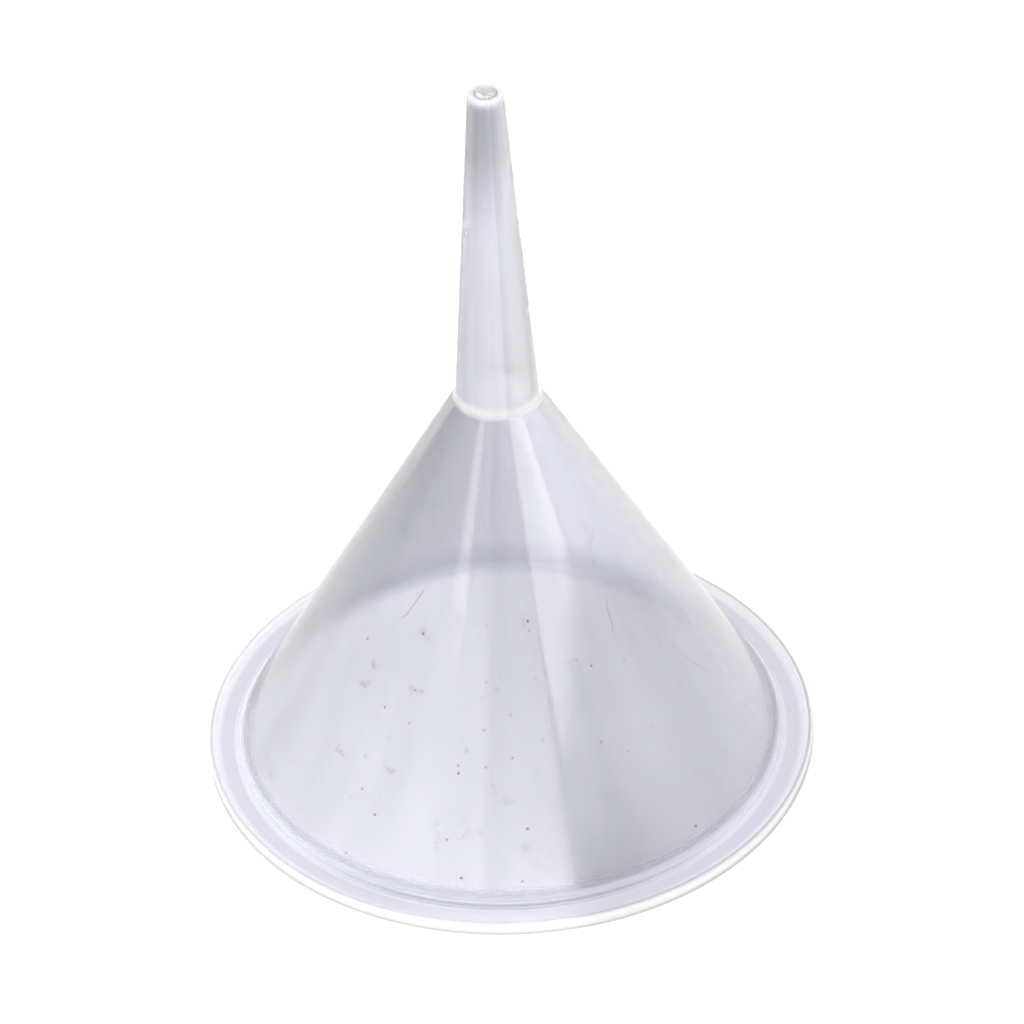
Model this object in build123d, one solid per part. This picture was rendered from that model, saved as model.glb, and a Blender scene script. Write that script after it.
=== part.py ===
from build123d import *
import math
import os

# Filling funnel, injection moulded in one shot from translucent polypropylene.
# It stands on the rim of its mouth with the stem up: +Z is the axis, from the mouth to
# the stem's tip, and the origin is the centre of the mouth at the rim's resting face.
# The whole wall is one section turned about Z. The section is cut into the regions that
# the moulding is made of, which meet face to face: stem, neck, cone, collar, flange, lip.
# All sizes are in millimetres.

# Driving dimensions
RIM_RADIUS = 50.0            # outside of the rim at its resting face
HEIGHT = 124.0               # resting face to stem tip
WALL = 1.3                   # cone wall, measured square to the wall
CONE_HALF_ANGLE = 29.3       # degrees, between the cone's wall and the axis
STEM_HALF_ANGLE = 4.0        # degrees, taper of the outside of the stem
TIP_RADIUS = 2.75            # outside of the stem's tip
TIP_BORE_RADIUS = 1.4
NECK_BORE_RADIUS = 5.2       # inside of the stem where it leaves the cone

# Rim, collar and mouth
FLANGE_THICKNESS = 1.0
LIP_HEIGHT = 2.1             # resting face to the top of the raised lip
LIP_WIDTH = 1.2
LIP_DRAFT = 0.2              # how far the lip's outer face leans in at its top
COLLAR_RADIUS = 45.1         # low step that the cone stands on
COLLAR_HEIGHT = 1.9
CONE_FOOT_RADIUS = 44.4      # outside of the cone on top of the collar
MOUTH_RADIUS = 43.3          # inner edge of the mouth at the resting face

# Corner radii
NECK_FILLET = 4.5            # outside, between cone and stem
THROAT_ROUND = 3.0           # inside, between cone and bore
TIP_ROUND = 0.45
BORE_ROUND = 0.2
LIP_ROUND = 0.6
LIP_INNER_ROUND = 0.3
RIM_FILLET = 0.3             # both sides of the flange's floor, and the collar's step
EDGE_ROUND = 0.2             # edges at the resting face

# The neck region reaches this far past its two fillets, up and down
NECK_MARGIN = 0.6

CONE_SLOPE = math.tan(math.radians(CONE_HALF_ANGLE))
STEM_SLOPE = math.tan(math.radians(STEM_HALF_ANGLE))
WALL_ACROSS = WALL / math.cos(math.radians(CONE_HALF_ANGLE))
LIP_INNER_RADIUS = RIM_RADIUS - LIP_WIDTH


def cone_radius(z):
    """Outside radius of the cone's straight wall at height z."""
    return CONE_FOOT_RADIUS - CONE_SLOPE * (z - COLLAR_HEIGHT)


def outer_corner():
    """Radius and height where the outside of the cone and of the stem would meet."""
    gap = cone_radius(HEIGHT) - TIP_RADIUS
    z = HEIGHT + gap / (CONE_SLOPE - STEM_SLOPE)
    return cone_radius(z), z


def inner_corner():
    """Radius and height where the inside of the cone opens into the bore."""
    z = COLLAR_HEIGHT + (CONE_FOOT_RADIUS - WALL_ACROSS - NECK_BORE_RADIUS) / CONE_SLOPE
    return NECK_BORE_RADIUS, z


def tangent_length(radius):
    """How far along its walls the fillet between cone and stem reaches."""
    return radius * math.tan(math.radians(CONE_HALF_ANGLE - STEM_HALF_ANGLE) / 2)


def moulding_section():
    """Half section of the whole funnel, radius along X and height along Y."""
    corners = [
        (MOUTH_RADIUS, 0, EDGE_ROUND),
        (RIM_RADIUS, 0, EDGE_ROUND),
        (RIM_RADIUS - LIP_DRAFT, LIP_HEIGHT, LIP_ROUND),
        (LIP_INNER_RADIUS, LIP_HEIGHT, LIP_INNER_ROUND),
        (LIP_INNER_RADIUS, FLANGE_THICKNESS, RIM_FILLET),
        (COLLAR_RADIUS, FLANGE_THICKNESS, RIM_FILLET),
        (COLLAR_RADIUS, COLLAR_HEIGHT, RIM_FILLET),
        (CONE_FOOT_RADIUS, COLLAR_HEIGHT, RIM_FILLET),
        (*outer_corner(), NECK_FILLET),
        (TIP_RADIUS, HEIGHT, TIP_ROUND),
        (TIP_BORE_RADIUS, HEIGHT, BORE_ROUND),
        (*inner_corner(), THROAT_ROUND),
        (CONE_FOOT_RADIUS - WALL_ACROSS, COLLAR_HEIGHT, RIM_FILLET),
    ]
    section = make_face(Polyline(*[(r, z) for r, z, _ in corners], close=True))
    for r, z, rounding in corners:
        corner = section.vertices().sort_by_distance((r, z, 0))[0]
        section = fillet(corner, rounding)
    return section


def region(section, low_radius, high_radius, low_z, high_z):
    """The stretch of the section between two radii and two heights, turned about Z."""
    window = Rectangle(high_radius - low_radius, high_z - low_z, align=(Align.MIN, Align.MIN))
    stretch = section & (Pos(low_radius, low_z) * window)
    return revolve(Plane.XZ * stretch, Axis.Z)


def neck_span():
    """Lowest and highest point of the neck region, which holds both fillets between cone and stem."""
    outer_z = outer_corner()[1]
    inner_z = inner_corner()[1]
    outer_reach = tangent_length(NECK_FILLET)
    inner_reach = tangent_length(THROAT_ROUND)
    low = min(outer_z - outer_reach, inner_z - inner_reach) - NECK_MARGIN
    high = max(outer_z + outer_reach, inner_z + inner_reach) + NECK_MARGIN
    return low, high


def funnel_regions():
    """Every named region as its own solid, from the stem's tip down to the rim."""
    section = moulding_section()
    neck_low, neck_high = neck_span()
    return {
        "stem": region(section, 0, COLLAR_RADIUS, neck_high, HEIGHT),
        "neck": region(section, 0, COLLAR_RADIUS, neck_low, neck_high),
        "cone": region(section, 0, COLLAR_RADIUS, COLLAR_HEIGHT, neck_low),
        "mouth_collar": region(section, 0, COLLAR_RADIUS, 0, COLLAR_HEIGHT),
        "rim_flange": region(section, COLLAR_RADIUS, LIP_INNER_RADIUS, 0, LIP_HEIGHT),
        "rim_lip": region(section, LIP_INNER_RADIUS, RIM_RADIUS, 0, LIP_HEIGHT),
    }


os.makedirs("parts", exist_ok=True)
for name, solid in funnel_regions().items():
    export_step(solid, f"parts/{name}.step")
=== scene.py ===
import bmesh
import bpy
import math
from mathutils import Matrix, Vector, noise


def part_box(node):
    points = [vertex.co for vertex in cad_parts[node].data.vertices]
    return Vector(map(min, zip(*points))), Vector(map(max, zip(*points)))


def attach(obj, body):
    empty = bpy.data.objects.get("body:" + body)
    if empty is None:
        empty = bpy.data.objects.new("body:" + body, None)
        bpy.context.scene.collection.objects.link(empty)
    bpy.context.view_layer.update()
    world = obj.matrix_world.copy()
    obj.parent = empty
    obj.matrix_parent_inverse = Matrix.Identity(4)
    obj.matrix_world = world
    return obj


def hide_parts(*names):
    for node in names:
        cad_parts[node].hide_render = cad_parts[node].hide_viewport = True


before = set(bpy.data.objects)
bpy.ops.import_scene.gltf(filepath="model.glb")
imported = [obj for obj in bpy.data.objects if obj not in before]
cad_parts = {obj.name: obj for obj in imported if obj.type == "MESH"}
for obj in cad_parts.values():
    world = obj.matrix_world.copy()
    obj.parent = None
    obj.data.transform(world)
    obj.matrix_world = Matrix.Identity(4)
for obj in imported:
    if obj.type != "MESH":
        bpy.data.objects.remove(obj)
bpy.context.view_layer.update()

MM = 0.001

# ---------------------------------------------------------------- sizes, from the frame
lip_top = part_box("rim_lip")[1]
flange_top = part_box("rim_flange")[1]
collar_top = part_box("mouth_collar")[1]
neck_low, neck_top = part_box("neck")
stem_low, stem_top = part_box("stem")

RIM_RADIUS = lip_top.x
LIP_HEIGHT = lip_top.z
LIP_INNER_RADIUS = flange_top.x
COLLAR_RADIUS = collar_top.x
COLLAR_HEIGHT = collar_top.z
NECK_LOW_RADIUS = neck_top.x             # outside of the cone where the neck region starts
NECK_LOW_HEIGHT = neck_low.z
STEM_LOW_RADIUS = stem_top.x             # outside of the stem where the neck region ends
STEM_LOW_HEIGHT = stem_low.z
HEIGHT = stem_top.z

# Sizes that no node's box shows
RIM_FILLET = 0.3 * MM
FLANGE_THICKNESS = flange_top.z - RIM_FILLET
LIP_DRAFT = 0.2 * MM
CONE_FOOT_RADIUS = COLLAR_RADIUS - 0.7 * MM
MOUTH_RADIUS = COLLAR_RADIUS - 1.8 * MM
WALL = 1.3 * MM
TIP_RADIUS = 2.75 * MM
TIP_BORE_RADIUS = 1.4 * MM
NECK_BORE_RADIUS = 5.2 * MM
NECK_FILLET = 4.5 * MM
THROAT_ROUND = 3.0 * MM
TIP_ROUND = 0.25 * MM
BORE_ROUND = 0.2 * MM
LIP_ROUND = 0.6 * MM
EDGE_ROUND = 0.2 * MM

CONE_SLOPE = (CONE_FOOT_RADIUS - NECK_LOW_RADIUS) / (NECK_LOW_HEIGHT - COLLAR_HEIGHT)
STEM_SLOPE = (STEM_LOW_RADIUS - TIP_RADIUS) / (HEIGHT - STEM_LOW_HEIGHT)
WALL_ACROSS = WALL * math.hypot(1, CONE_SLOPE)


# ---------------------------------------------------------------- the moulding's section
def meeting_point():
    """Radius and height where the outside of the cone and of the stem would meet."""
    z = NECK_LOW_HEIGHT + ((NECK_LOW_RADIUS - STEM_LOW_RADIUS) + STEM_SLOPE *
                           (NECK_LOW_HEIGHT - STEM_LOW_HEIGHT)) / (CONE_SLOPE - STEM_SLOPE)
    return NECK_LOW_RADIUS - CONE_SLOPE * (z - NECK_LOW_HEIGHT), z


def throat_point():
    """Radius and height where the inside of the cone opens into the bore."""
    inside_foot = CONE_FOOT_RADIUS - WALL_ACROSS
    return NECK_BORE_RADIUS, COLLAR_HEIGHT + (inside_foot - NECK_BORE_RADIUS) / CONE_SLOPE


def section_corners():
    """The closed section: radius, height, rounding, and how many steps the run after it has."""
    return [
        (MOUTH_RADIUS, 0, EDGE_ROUND, 10),
        (RIM_RADIUS, 0, EDGE_ROUND, 4),
        (RIM_RADIUS - LIP_DRAFT, LIP_HEIGHT, LIP_ROUND, 1),
        (LIP_INNER_RADIUS, LIP_HEIGHT, RIM_FILLET, 2),
        (LIP_INNER_RADIUS, FLANGE_THICKNESS, RIM_FILLET, 8),
        (COLLAR_RADIUS, FLANGE_THICKNESS, RIM_FILLET, 2),
        (COLLAR_RADIUS, COLLAR_HEIGHT, RIM_FILLET, 1),
        (CONE_FOOT_RADIUS, COLLAR_HEIGHT, RIM_FILLET, 40),
        (*meeting_point(), NECK_FILLET, 30),
        (TIP_RADIUS, HEIGHT, TIP_ROUND, 2),
        (TIP_BORE_RADIUS, HEIGHT, BORE_ROUND, 30),
        (*throat_point(), THROAT_ROUND, 40),
        (CONE_FOOT_RADIUS - WALL_ACROSS, COLLAR_HEIGHT, RIM_FILLET, 2),
    ]


def arc_points(before, corner, after, radius, steps=6):
    """Points of the arc of that radius that rounds a corner between two straight runs."""
    into = (before - corner).normalized()
    out = (after - corner).normalized()
    half = into.angle(out) / 2
    reach = radius / math.tan(half)
    centre = corner + (into + out).normalized() * (radius / math.sin(half))
    start = corner + into * reach - centre
    turn = math.pi - 2 * half
    side = 1 if start.x * out.y - start.y * out.x > 0 else -1
    points = []
    for i in range(steps + 1):
        a = side * turn * i / steps
        points.append(centre + Vector((start.x * math.cos(a) - start.y * math.sin(a),
                                       start.x * math.sin(a) + start.y * math.cos(a))))
    return points


def section_points():
    """The section as one closed loop of points, with support points close to each arc."""
    corners = section_corners()
    count = len(corners)
    flat = [Vector((r, z)) for r, z, _, _ in corners]
    arcs = [arc_points(flat[i - 1], flat[i], flat[(i + 1) % count], corners[i][2])
            for i in range(count)]
    points = []
    for i, arc in enumerate(arcs):
        points += arc
        start, end = arc[-1], arcs[(i + 1) % count][0]
        run = end - start
        support = min(0.15 * MM, run.length / 4)
        steps = corners[i][3]
        inner_start = start + run.normalized() * support
        inner_end = end - run.normalized() * support
        for k in range(steps + 1):
            points.append(inner_start.lerp(inner_end, k / steps))
    return points


def wobble(angle, height):
    """How far the moulded wall stands off true round, in metres: slow waves round the part."""
    up = height / HEIGHT
    size = 0.05 * MM * min(1.0, height / (6 * MM))
    wave = math.cos(2 * angle + 0.7 + 1.5 * up) + 0.6 * math.cos(3 * angle - 1.1 + 2.0 * up)
    spot = Vector((2.2 * math.cos(angle), 2.2 * math.sin(angle), 4.0 * up))
    return size * (wave + 1.2 * noise.noise(spot)) * (1 - 0.7 * up)


AROUND = 256


def turned_mesh(name, points):
    """The closed section turned about Z, with the wall's slight waviness."""
    verts, faces = [], []
    for s in range(AROUND):
        angle = 2 * math.pi * s / AROUND
        for p in points:
            r = p.x + wobble(angle, p.y)
            verts.append((r * math.cos(angle), r * math.sin(angle), p.y))
    n = len(points)
    for s in range(AROUND):
        here, there = s * n, ((s + 1) % AROUND) * n
        for i in range(n):
            j = (i + 1) % n
            faces.append((here + i, there + i, there + j, here + j))
    mesh = bpy.data.meshes.new(name)
    mesh.from_pydata(verts, [], faces)
    mesh.validate()
    mesh.shade_smooth()
    piece = bpy.data.objects.new(name, mesh)
    bpy.context.scene.collection.objects.link(piece)
    return piece


# ---------------------------------------------------------------- the flash in the bore
# The torn edge of the flash, from the bore's left side to its right: x, y in millimetres
FLASH_EDGE = [(-1.22, 0.72), (-0.80, 0.46), (-0.52, -0.10), (-0.20, -0.66), (0.02, -0.58), (0.22, -0.44),
              (0.46, -0.62), (0.72, -0.84), (1.0, -0.82), (1.28, -0.62)]
FLASH_THICKNESS = 0.2 * MM
FLASH_DEPTH = 0.22 * MM                  # how far its top lies below the stem's end face
FLASH_DROOP = 0.06                       # how much it falls for each millimetre away from the front
FLASH_LET_IN = 0.06                      # how far it reaches into the bore's wall, in millimetres
FLASH_STEPS = 40                         # steps along the side that is let into the wall


def smooth_line(points, steps=5):
    """A Catmull-Rom curve through the points."""
    padded = [points[0]] + points + [points[-1]]
    line = []
    for p0, p1, p2, p3 in zip(padded, padded[1:], padded[2:], padded[3:]):
        for k in range(steps):
            t = k / steps
            line.append(tuple(0.5 * (2 * b + (c - a) * t + (2 * a - 5 * b + 4 * c - d) * t * t
                                     + (3 * b - a - 3 * c + d) * t ** 3)
                              for a, b, c, d in zip(p0, p1, p2, p3)))
    return line + [points[-1]]


def bore_flash():
    """A thin web of flash left across the front of the bore, let into the bore's wall."""
    edge = smooth_line(FLASH_EDGE)
    start = math.atan2(edge[-1][1], edge[-1][0])
    end = math.atan2(edge[0][1], edge[0][0]) - 2 * math.pi
    reach = TIP_BORE_RADIUS / MM + FLASH_LET_IN
    angles = [start + (end - start) * k / FLASH_STEPS for k in range(1, FLASH_STEPS)]
    outline = edge + [(reach * math.cos(a), reach * math.sin(a)) for a in angles]
    count = len(outline)
    top = HEIGHT - FLASH_DEPTH
    verts = []
    for level in (0, 1):
        for px, py in outline:
            droop = FLASH_DROOP * (py * MM + TIP_BORE_RADIUS)
            verts.append((px * MM, py * MM, top - droop - level * FLASH_THICKNESS))
    faces = [tuple(range(count)), tuple(reversed(range(count, 2 * count)))]
    faces += [(k, k + count, (k + 1) % count + count, (k + 1) % count) for k in range(count)]
    mesh = bpy.data.meshes.new("bore_flash")
    mesh.from_pydata(verts, [], faces)
    mesh.validate()
    graph = bmesh.new()
    graph.from_mesh(mesh)
    bmesh.ops.triangulate(graph, faces=[f for f in graph.faces if len(f.verts) > 4])
    bmesh.ops.recalc_face_normals(graph, faces=graph.faces)
    graph.to_mesh(mesh)
    graph.free()
    piece = bpy.data.objects.new("bore_flash", mesh)
    bpy.context.scene.collection.objects.link(piece)
    return piece


# ---------------------------------------------------------------- materials
def add_node(tree, kind, inputs=None, **settings):
    """Add a shader node; inputs maps a socket's name or number to a value or a socket."""
    node = tree.nodes.new(kind)
    for key, value in settings.items():
        setattr(node, key, value)
    for key, value in (inputs or {}).items():
        if isinstance(value, bpy.types.NodeSocket):
            tree.links.new(value, node.inputs[key])
        else:
            node.inputs[key].default_value = value
    return node


def maths(tree, operation, *values, clamp=False):
    """One Math node's result."""
    inputs = dict(enumerate(values))
    return add_node(tree, "ShaderNodeMath", inputs, operation=operation, use_clamp=clamp).outputs[0]


def ramp(tree, value, stops):
    """A grey read from stops of (position, grey)."""
    node = add_node(tree, "ShaderNodeValToRGB", {"Fac": value})
    elements = node.color_ramp.elements
    while len(elements) < len(stops):
        elements.new(0.5)
    for element, (position, grey) in zip(elements, stops):
        element.position = position
        element.color = (grey, grey, grey, 1)
    return node.outputs["Color"]


def noise_value(tree, vector, scale, detail=3.0, roughness=0.5):
    node = add_node(tree, "ShaderNodeTexNoise",
                    {"Vector": vector, "Scale": scale, "Detail": detail, "Roughness": roughness})
    return node.outputs["Fac"]


# Colour
WALL_HUE = (0.945, 0.945, 1.0, 1)
THICK_HUE = (0.89, 0.89, 1.0, 1)

# How light the wall's colour is round the axis, by azimuth in degrees. It is partly the plastic's own
# tone and partly painted light and shade: the light and dark bands along the cone are painted highlights
# and painted shade.
WALL_TONE_AND_PAINTED_LIGHT_ROUND = [(-180, 0.62), (-165, 0.63), (-148, 0.74), (-135, 0.77), (-118, 0.78), (-116, 0.80),
                 (-98, 0.81), (-96, 0.76), (-79, 0.84), (-77, 0.70), (-64, 0.77), (-52, 0.95),
                 (-30, 0.95), (0, 0.95), (30, 1.00), (72, 1.00), (88, 0.82), (120, 0.66),
                 (160, 0.63), (180, 0.62)]
# The share of a lamp's light that each face of the wall lets through, by azimuth. Not a property of the
# plastic: set to make the floor inside the mouth light on the left and dark on the right.
LAMP_LIGHT_ROUND = [(-180, 0.97), (-80, 0.97), (-75, 0.40), (60, 0.28), (85, 0.65), (110, 0.92),
                    (180, 0.97)]
# Where the painted shade in the collar's corner and the scuffs are, by azimuth
SHADED_FRONT = [(-140, 0.0), (-115, 0.8), (-70, 1.0), (-40, 0.0)]
USED_SIDE = [(-170, 0.2), (-140, 1.0), (-100, 0.8), (-70, 0.35)]

# The next ones run up the part, by the share of its height.
WALL_STARTS = [(0.0190, 0.0), (0.0245, 1.0)]
# Thick sections scatter more of the light that a thin wall lets through.
SEE_THROUGH_UP = [(0.0150, 0.10), (0.0165, 0.25), (0.0205, 0.35), (0.0245, 0.90),
                  (0.551, 0.90), (0.556, 0.15), (0.563, 0.18), (0.568, 0.52),
                  (0.66, 0.62), (0.85, 0.80), (0.99, 0.80), (0.997, 0.1)]
# Painted light and shade up the stem: the ring at the neck and the end face are painted lighter than the
# wall as highlights, and the stem's thin end is painted darker as shade.
STEM_PAINTED_LIGHT_AND_SHADE_UP = [(0.550, 1.0), (0.556, 1.32), (0.563, 1.32), (0.568, 1.30), (0.80, 1.33),
                (0.86, 1.12), (0.92, 0.93), (0.985, 0.91), (0.995, 1.3)]
COLLAR_UP = [(0.0070, 0.0), (0.0085, 1.0), (0.0150, 1.0), (0.0165, 0.0)]
LOW_DOWN = [(0.02, 1.0), (0.25, 1.0), (0.45, 0.0)]
CONE_TOP, END_FACE = 0.54, 0.995

# These run outwards over the rim, by the share of its radius.
RIM_TINT_OUT = [(0.905, 0.85), (0.915, 0.60), (0.95, 0.60), (0.985, 1.0)]
COLLAR_OUT = [(0.905, 1.0), (0.912, 0.0)]

# How much each kind of mark, and the painted shade in the collar's corner, darkens the colour
COLLAR_SHADE, SPECKS, FINE_SPECKS, SCRATCHES, SCUFFS, DENTS = 0.36, 0.78, 0.60, 0.40, 0.30, 0.80
# Small dents in the stem's end face: x, y, radius in millimetres
TIP_DENTS = [(-0.10, -1.72, 0.20), (0.55, -1.70, 0.18), (1.38, -1.15, 0.16)]


def ramp_round(tree, around01, stops):
    """A grey read from stops of (azimuth in degrees, grey)."""
    return ramp(tree, around01, [((degrees + 180) / 360, grey) for degrees, grey in stops])


def length_2d(tree, x, y):
    squares = maths(tree, "ADD", maths(tree, "MULTIPLY", x, x), maths(tree, "MULTIPLY", y, y))
    return maths(tree, "SQRT", squares)


def spots(tree, place, scale, size, kept, softness=0.02):
    """Round spots scattered over a 2D place; kept is the share of cells that have one."""
    cells = add_node(tree, "ShaderNodeTexVoronoi", {"Vector": place, "Scale": scale},
                     voronoi_dimensions="2D")
    inside = maths(tree, "SUBTRACT", size, cells.outputs["Distance"])
    near = maths(tree, "DIVIDE", inside, softness, clamp=True)
    chance = add_node(tree, "ShaderNodeSeparateColor", {"Color": cells.outputs["Color"]}).outputs[0]
    return maths(tree, "MULTIPLY", near, maths(tree, "LESS_THAN", chance, kept))


def hairs(tree, place, scale, width, bend, broken):
    """Thin curved scratches: bent cell edges, broken up by a noise."""
    bent = add_node(tree, "ShaderNodeTexNoise",
                    {"Vector": place, "Scale": scale * 1.7, "Detail": 2.0})
    moved = add_node(tree, "ShaderNodeVectorMath",
                     {0: bent.outputs["Color"], 1: (bend, bend, 0), 2: place},
                     operation="MULTIPLY_ADD")
    edges = add_node(tree, "ShaderNodeTexVoronoi", {"Vector": moved.outputs[0], "Scale": scale},
                     voronoi_dimensions="2D", feature="DISTANCE_TO_EDGE")
    inside = maths(tree, "SUBTRACT", width, edges.outputs["Distance"])
    line = maths(tree, "DIVIDE", inside, width, clamp=True)
    return maths(tree, "MULTIPLY", line, ramp(tree, noise_value(tree, place, scale * 2.2), broken))


def dents(tree, x, y):
    """Up to 1 in the dents of the stem's end face, 0 elsewhere."""
    total = 0.0
    for dent_x, dent_y, radius in TIP_DENTS:
        away = length_2d(tree, maths(tree, "SUBTRACT", x, dent_x * MM),
                         maths(tree, "SUBTRACT", y, dent_y * MM))
        share = maths(tree, "DIVIDE", away, radius * MM)
        total = maths(tree, "ADD", total, maths(tree, "SUBTRACT", 1.0, share, clamp=True))
    return total


def set_plastic(bsdf, subsurface, depth):
    """The shader's values that are the same all over a plastic piece."""
    bsdf.inputs["IOR"].default_value = 1.49
    bsdf.inputs["Subsurface Weight"].default_value = subsurface
    bsdf.inputs["Subsurface Radius"].default_value = (depth, depth, depth)
    bsdf.inputs["Subsurface Scale"].default_value = 1.0


def mixed_colour(tree, factor, low, high):
    return add_node(tree, "ShaderNodeMix", {"Factor": factor, 6: low, 7: high},
                    data_type="RGBA").outputs[2]


def translucent_plastic():
    """Natural polypropylene: cloudy, faintly lavender, with a glossy moulded skin."""
    mat = bpy.data.materials.new("moulded_polypropylene")
    mat.use_nodes = True
    tree = mat.node_tree
    bsdf = tree.nodes["Principled BSDF"]

    # where a point is: up the part, round the axis, and out from it
    place = add_node(tree, "ShaderNodeTexCoord").outputs["Object"]
    x, y, z = add_node(tree, "ShaderNodeSeparateXYZ", {"Vector": place}).outputs
    height01 = maths(tree, "DIVIDE", z, HEIGHT)
    around01 = maths(tree, "MULTIPLY_ADD", maths(tree, "ARCTAN2", y, x), 1 / (2 * math.pi), 0.5)
    radius = maths(tree, "MAXIMUM", length_2d(tree, x, y), 0.5 * MM)
    radius01 = maths(tree, "DIVIDE", radius, RIM_RADIUS)

    # the wall unrolled flat, with its seam at the back
    from_front = maths(tree, "ARCTAN2", x, maths(tree, "MULTIPLY", y, -1.0))
    unrolled = add_node(tree, "ShaderNodeCombineXYZ", {
        "X": maths(tree, "MULTIPLY", from_front, 30 * MM), "Y": z}).outputs[0]
    # a place that changes fast round the axis and slowly along the wall
    along_flow = add_node(tree, "ShaderNodeCombineXYZ", {
        "X": maths(tree, "DIVIDE", x, radius), "Y": maths(tree, "DIVIDE", y, radius),
        "Z": maths(tree, "MULTIPLY", height01, 0.5)}).outputs[0]

    # 1 on the wall of the cone and up the stem, 0 on the rim and the collar
    on_wall = ramp(tree, height01, WALL_STARTS)
    off_wall = maths(tree, "SUBTRACT", 1.0, on_wall)

    # the lightness of the wall, with bands of painted highlight and painted shade round it and slightly
    # feathered streaks, and that of the rim
    feather = maths(tree, "SUBTRACT", noise_value(tree, unrolled, 420.0, 3.0, 0.6), 0.5)
    feathered = maths(tree, "MULTIPLY_ADD", feather, 0.003, around01)
    tone_and_painted_light = ramp_round(tree, feathered, WALL_TONE_AND_PAINTED_LIGHT_ROUND)
    streaks = ramp(tree, noise_value(tree, along_flow, 9.0, 4.0, 0.6), [(0.3, 0.93), (0.7, 1.0)])
    clouds = ramp(tree, noise_value(tree, place, 35.0, 3.0, 0.5), [(0.3, 0.96), (0.7, 1.0)])
    wall_tint = maths(tree, "MULTIPLY", tone_and_painted_light, maths(tree, "MULTIPLY", streaks, clouds))
    rim_tint = ramp(tree, radius01, RIM_TINT_OUT)
    tint = maths(tree, "MULTIPLY_ADD", wall_tint, on_wall,
                 maths(tree, "MULTIPLY", off_wall, rim_tint))
    # painted highlights on the neck ring and end face, and painted shade on the stem's thin end
    tint = maths(tree, "MULTIPLY", tint, ramp(tree, height01, STEM_PAINTED_LIGHT_AND_SHADE_UP))

    # painted shade in the collar's corner, at the front
    collar = maths(tree, "MULTIPLY", ramp(tree, height01, COLLAR_UP),
                   ramp(tree, radius01, COLLAR_OUT))
    painted_collar_shade = maths(tree, "MULTIPLY", collar, ramp_round(tree, around01, SHADED_FRONT))

    # marks on the outer face of the cone only
    middle_radius = maths(tree, "MULTIPLY_ADD", z, -CONE_SLOPE,
                          CONE_FOOT_RADIUS + COLLAR_HEIGHT * CONE_SLOPE - 0.5 * WALL_ACROSS)
    on_cone = maths(tree, "MULTIPLY", on_wall, maths(tree, "LESS_THAN", height01, CONE_TOP))
    outside = maths(tree, "MULTIPLY", maths(tree, "GREATER_THAN", radius, middle_radius), on_cone)
    specks = maths(tree, "MULTIPLY", spots(tree, unrolled, 95.0, 0.024, 0.50, 0.012), outside)
    fine_specks = maths(tree, "MULTIPLY", spots(tree, unrolled, 240.0, 0.050, 0.20), outside)
    hair_lines = hairs(tree, unrolled, 28.0, 0.006, 0.018, [(0.55, 0.0), (0.60, 1.0)])
    scratches = maths(tree, "MULTIPLY", hair_lines, outside)
    scuff_shape = ramp(tree, noise_value(tree, place, 230.0, 5.0, 0.7), [(0.60, 0.0), (0.66, 1.0)])
    scuff_place = maths(tree, "MULTIPLY", ramp_round(tree, around01, USED_SIDE),
                        ramp(tree, height01, LOW_DOWN))
    scuffs = maths(tree, "MULTIPLY", maths(tree, "MULTIPLY", scuff_shape, scuff_place), outside)
    tip_dents = maths(tree, "MULTIPLY", dents(tree, x, y),
                      maths(tree, "GREATER_THAN", height01, END_FACE))

    # the marks, and the painted shade in the collar's corner, darken the colour
    dark = 0.0
    for mask, strength in ((painted_collar_shade, COLLAR_SHADE), (specks, SPECKS), (fine_specks, FINE_SPECKS),
                           (scratches, SCRATCHES), (scuffs, SCUFFS), (tip_dents, DENTS)):
        dark = maths(tree, "ADD", dark, maths(tree, "MULTIPLY", mask, strength))
    tint = maths(tree, "MULTIPLY", tint, maths(tree, "SUBTRACT", 1.0, dark, clamp=True))

    see_through = ramp(tree, height01, SEE_THROUGH_UP)
    hue = mixed_colour(tree, see_through, THICK_HUE, WALL_HUE)
    colour = mixed_colour(tree, tint, (0, 0, 0, 1), hue)
    tree.links.new(colour, bsdf.inputs["Base Color"])

    # small white nicks, where the plastic doesn't let light through
    moved = add_node(tree, "ShaderNodeVectorMath", {0: unrolled, 1: (0.031, 0.017, 0)},
                     operation="ADD").outputs[0]
    nicks = spots(tree, moved, 45.0, 0.022, 0.10)
    see_through = maths(tree, "MULTIPLY", see_through, maths(tree, "SUBTRACT", 1.0, nicks))
    tree.links.new(see_through, bsdf.inputs["Transmission Weight"])

    skin = ramp(tree, noise_value(tree, place, 160.0, 3.0, 0.55), [(0.3, 0.07), (0.7, 0.13)])
    rough = maths(tree, "MULTIPLY_ADD", maths(tree, "ADD", scuffs, scratches), 0.12, skin)
    tree.links.new(rough, bsdf.inputs["Roughness"])

    # scratches and dents lie a little deep in a faint orange peel
    peel = noise_value(tree, place, 700.0, 2.0, 0.5)
    relief = maths(tree, "MULTIPLY", maths(tree, "ADD", scratches, tip_dents), -0.5)
    relief = maths(tree, "MULTIPLY_ADD", peel, 0.12, relief)
    bump = add_node(tree, "ShaderNodeBump",
                    {"Height": relief, "Strength": 0.25, "Distance": 0.1 * MM})
    tree.links.new(bump.outputs[0], bsdf.inputs["Normal"])
    set_plastic(bsdf, 1.0, 4 * MM)

    # lamps shine through the wall straight on to the floor inside the mouth
    lamp_ray = add_node(tree, "ShaderNodeLightPath").outputs["Is Shadow Ray"]
    passed = ramp_round(tree, around01, LAMP_LIGHT_ROUND)
    clear = add_node(tree, "ShaderNodeBsdfTransparent", {"Color": passed}).outputs[0]
    mixed = add_node(tree, "ShaderNodeMixShader", {0: lamp_ray, 1: bsdf.outputs[0], 2: clear})
    tree.links.new(mixed.outputs[0], tree.nodes["Material Output"].inputs["Surface"])
    return mat


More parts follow.
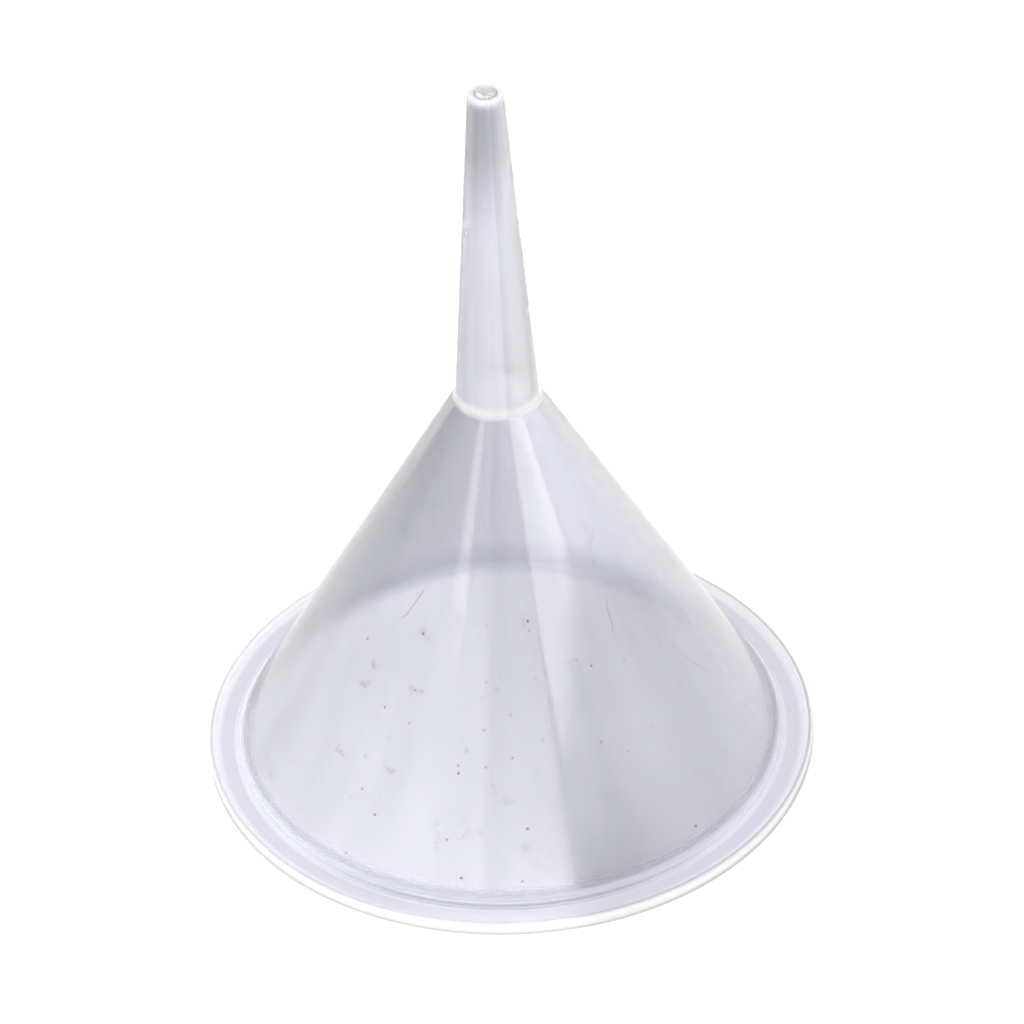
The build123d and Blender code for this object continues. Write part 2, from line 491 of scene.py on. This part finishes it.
def torn_plastic():
    """The thin torn flash in the bore: whiter than the wall, because tearing crazes it."""
    mat = bpy.data.materials.new("torn_polypropylene")
    mat.use_nodes = True
    tree = mat.node_tree
    bsdf = tree.nodes["Principled BSDF"]
    place = add_node(tree, "ShaderNodeTexCoord").outputs["Object"]
    crazed = noise_value(tree, place, 2500.0, 4.0, 0.6)
    colour = mixed_colour(tree, crazed, (0.62, 0.62, 0.66, 1), (0.86, 0.86, 0.91, 1))
    tree.links.new(colour, bsdf.inputs["Base Color"])
    tree.links.new(ramp(tree, crazed, [(0.3, 0.25), (0.7, 0.45)]), bsdf.inputs["Roughness"])
    bump = add_node(tree, "ShaderNodeBump",
                    {"Height": crazed, "Strength": 0.4, "Distance": 0.05 * MM})
    tree.links.new(bump.outputs[0], bsdf.inputs["Normal"])
    set_plastic(bsdf, 0.6, 1 * MM)
    return mat


def floor_material():
    mat = bpy.data.materials.new("pale_floor")
    mat.use_nodes = True
    bsdf = mat.node_tree.nodes["Principled BSDF"]
    bsdf.inputs["Base Color"].default_value = (0.92, 0.92, 0.92, 1)
    bsdf.inputs["Roughness"].default_value = 0.8
    return mat


# ---------------------------------------------------------------- pieces
shell = turned_mesh("funnel_moulding", section_points())
shell.data.materials.append(translucent_plastic())
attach(shell, "root")
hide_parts("stem", "neck", "cone", "mouth_collar", "rim_flange", "rim_lip")

flash = bore_flash()
flash.data.materials.append(torn_plastic())
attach(flash, "root")


# ---------------------------------------------------------------- floor, light and camera
def add_floor():
    half = 3.0
    corners = [(-half, -half, 0), (half, -half, 0), (half, half, 0), (-half, half, 0)]
    mesh = bpy.data.meshes.new("floor")
    mesh.from_pydata(corners, [], [(0, 1, 2, 3)])
    floor = bpy.data.objects.new("floor", mesh)
    bpy.context.scene.collection.objects.link(floor)
    mesh.materials.append(floor_material())


def add_softbox(name, azimuth, distance, height, width, tall, radiance):
    """A softbox whose middle is at that height, and that faces a third of the way up the funnel."""
    light = bpy.data.lights.new(name, "AREA")
    light.shape = "RECTANGLE"
    light.size = width
    light.size_y = tall
    light.energy = radiance * math.pi * width * tall
    lamp = bpy.data.objects.new(name, light)
    angle = math.radians(azimuth)
    lamp.location = (distance * math.cos(angle), distance * math.sin(angle), height)
    aim = Vector((0, 0, HEIGHT / 3))
    lamp.rotation_euler = (aim - lamp.location).to_track_quat("-Z", "Y").to_euler()
    bpy.context.scene.collection.objects.link(lamp)


def add_world(strength):
    world = bpy.data.worlds.new("studio")
    bpy.context.scene.world = world
    world.use_nodes = True
    back = world.node_tree.nodes["Background"]
    back.inputs["Color"].default_value = (1, 1, 1, 1)
    back.inputs["Strength"].default_value = strength


def add_camera():
    """The photograph's camera: in front of the funnel, looking down at it."""
    elevation = math.radians(39.98)
    distance = 768.1 * MM
    roll = math.radians(-2.19)
    target = Vector((1.6 * MM, 0, 45.3 * MM))
    place = distance * Vector((0, -math.cos(elevation), math.sin(elevation)))
    forward = (target - place).normalized()
    right = forward.cross(Vector((0, 0, 1))).normalized()
    up = right.cross(forward)
    turned_right = math.cos(roll) * right + math.sin(roll) * up
    turned_up = math.cos(roll) * up - math.sin(roll) * right
    camera = bpy.data.cameras.new("camera")
    camera.sensor_width = 36
    camera.lens = 163.3
    camera.clip_start = 0.01
    piece = bpy.data.objects.new("camera", camera)
    axes = Matrix((turned_right, turned_up, -forward)).transposed().to_4x4()
    piece.matrix_world = Matrix.Translation(place) @ axes
    bpy.context.scene.collection.objects.link(piece)
    bpy.context.scene.camera = piece


add_floor()
add_world(0.65)
add_softbox("panel_top", azimuth=180, distance=0.10, height=1.0,
            width=0.5, tall=0.5, radiance=8.2)
# two low panels, for the bright streaks down the front of the cone
add_softbox("panel_right", azimuth=-48, distance=0.5, height=0.225,
            width=0.33, tall=0.10, radiance=4.0)
add_softbox("panel_left", azimuth=-127, distance=0.5, height=0.24,
            width=0.10, tall=0.10, radiance=2.2)
add_camera()
bpy.context.scene.view_settings.view_transform = "Standard"
